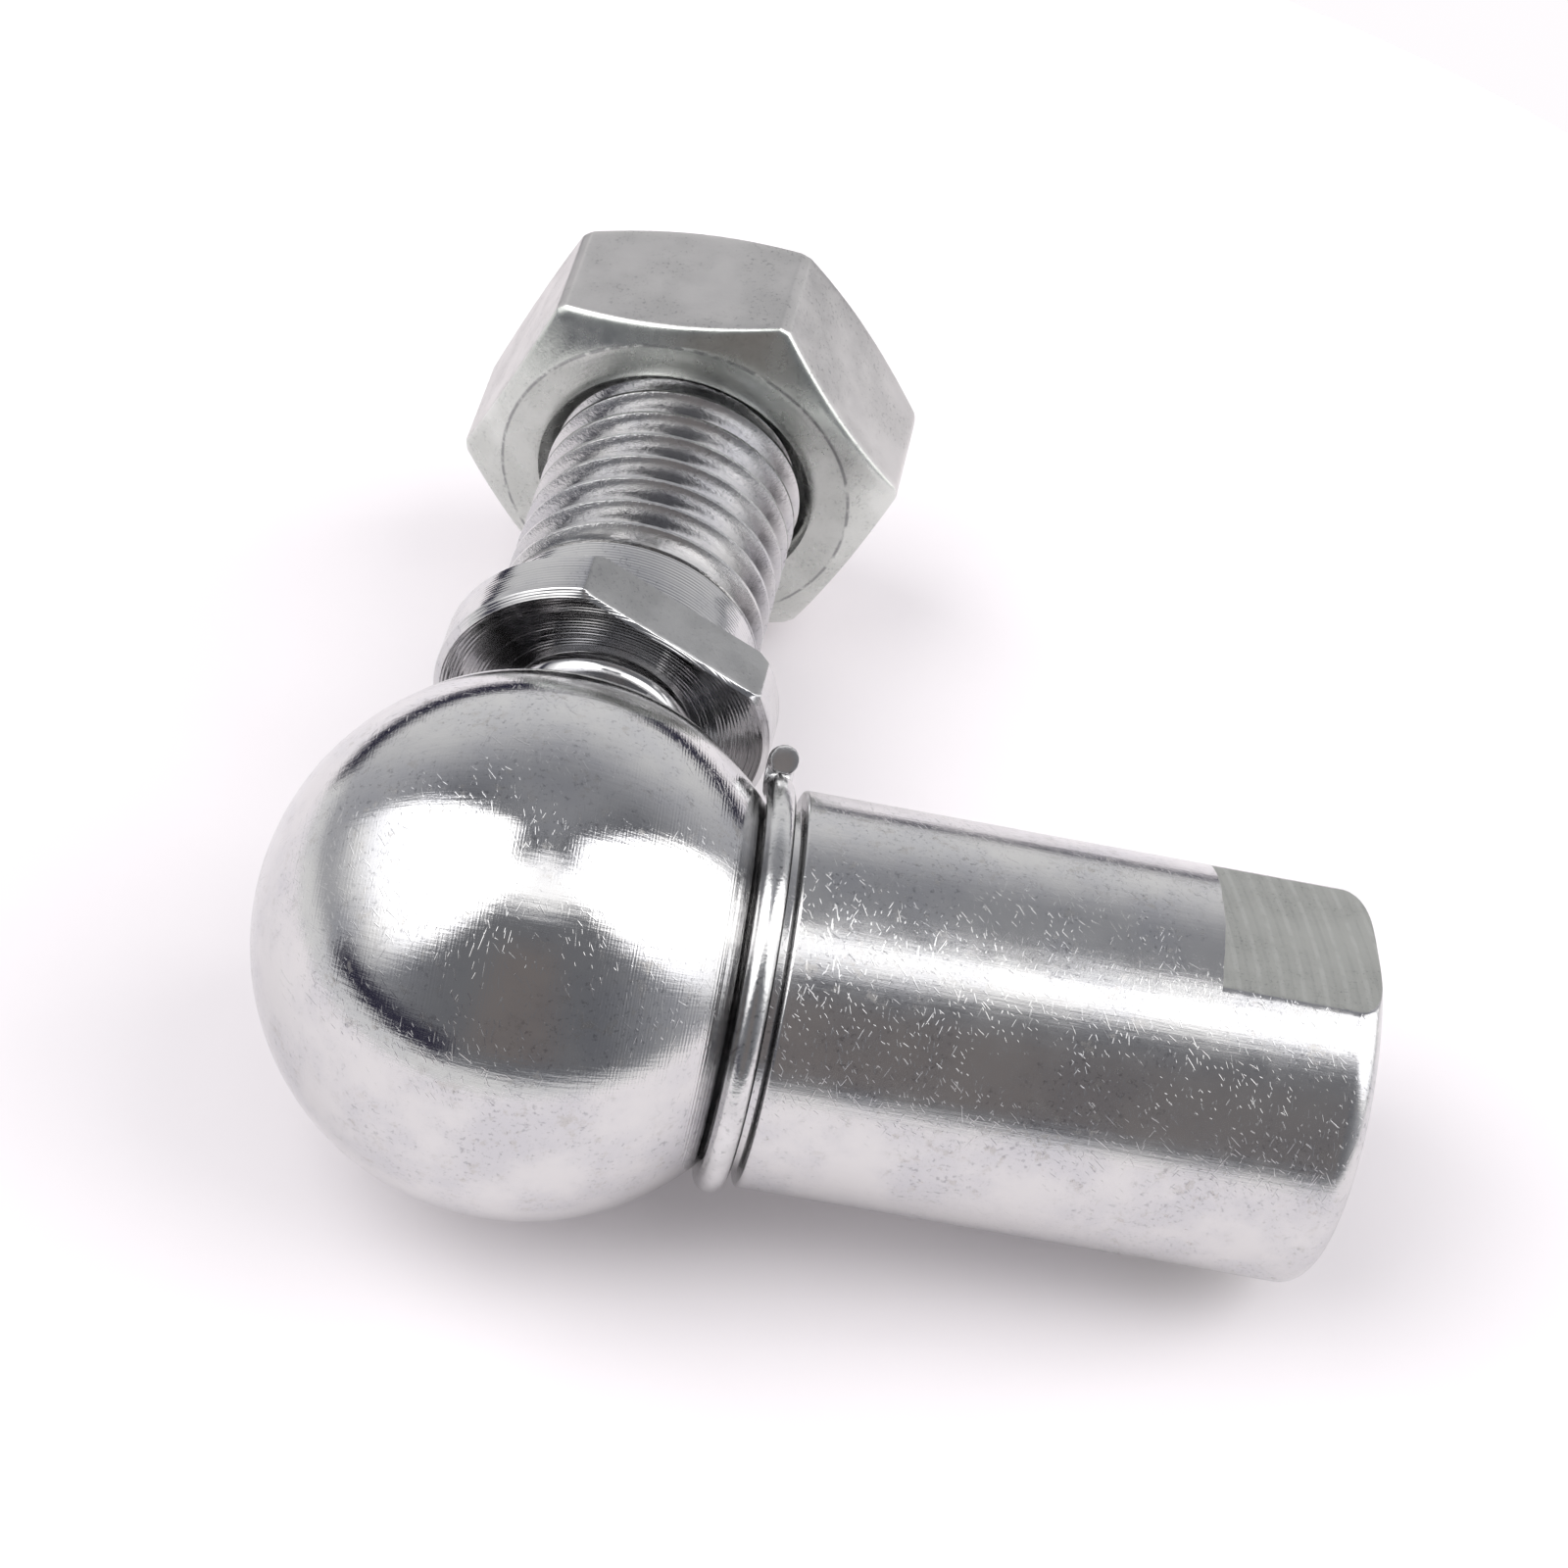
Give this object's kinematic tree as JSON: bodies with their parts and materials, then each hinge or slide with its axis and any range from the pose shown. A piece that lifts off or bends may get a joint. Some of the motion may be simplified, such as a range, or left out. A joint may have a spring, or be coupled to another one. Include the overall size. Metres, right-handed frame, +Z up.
{
  "type": "angle ball joint",
  "caption": "Angle ball joint: spherical socket with internally threaded neck, ball stud with threaded shank, low hex nut and wire safety clip.",
  "frame": {"origin": "centre of the ball and of the spherical head", "axes": "+X along the neck towards its threaded end, +Y along the axis of the socket's mouth, where the stud leaves, +Z up"},
  "size_m": [0.06, 0.0654, 0.03],
  "materials": {
    "zinc_plated_steel": "bright zinc plating with turning marks",
    "spring_steel": "plain",
    "zinc_plated_wire": "bright zinc plating",
    "dull_zinc_nut": "dull zinc plating"
  },
  "bodies": {
    "socket": {"ball_socket": "zinc_plated_steel"},
    "ring": {"snap_ring": "spring_steel"},
    "clip": {"safety_clip": "zinc_plated_wire"},
    "stud": {"ball_stud": "zinc_plated_steel"},
    "nut": {"hex_nut": "dull_zinc_nut"}
  },
  "joints": [
    {"name": "clip_swing", "type": "hinge", "parent": "socket", "child": "clip", "pos_m": [0.0119, 0, 0], "axis": [1, 0, 0], "range_deg": [-100, 0]},
    {"name": "stud_turn", "type": "hinge", "parent": "socket", "child": "ring", "pos_m": [0, 0, 0], "axis": [0, 1, 0], "continuous": true},
    {"name": "stud_tilt", "type": "hinge", "parent": "ring", "child": "stud", "pos_m": [0, 0, 0], "axis": [0, 0, 1], "range_deg": [-9, 21]},
    {"name": "nut_run", "type": "slide", "parent": "stud", "child": "nut", "axis": [0.1045, 0.9945, 0], "range_m": [-0.014, 0]}
  ]
}
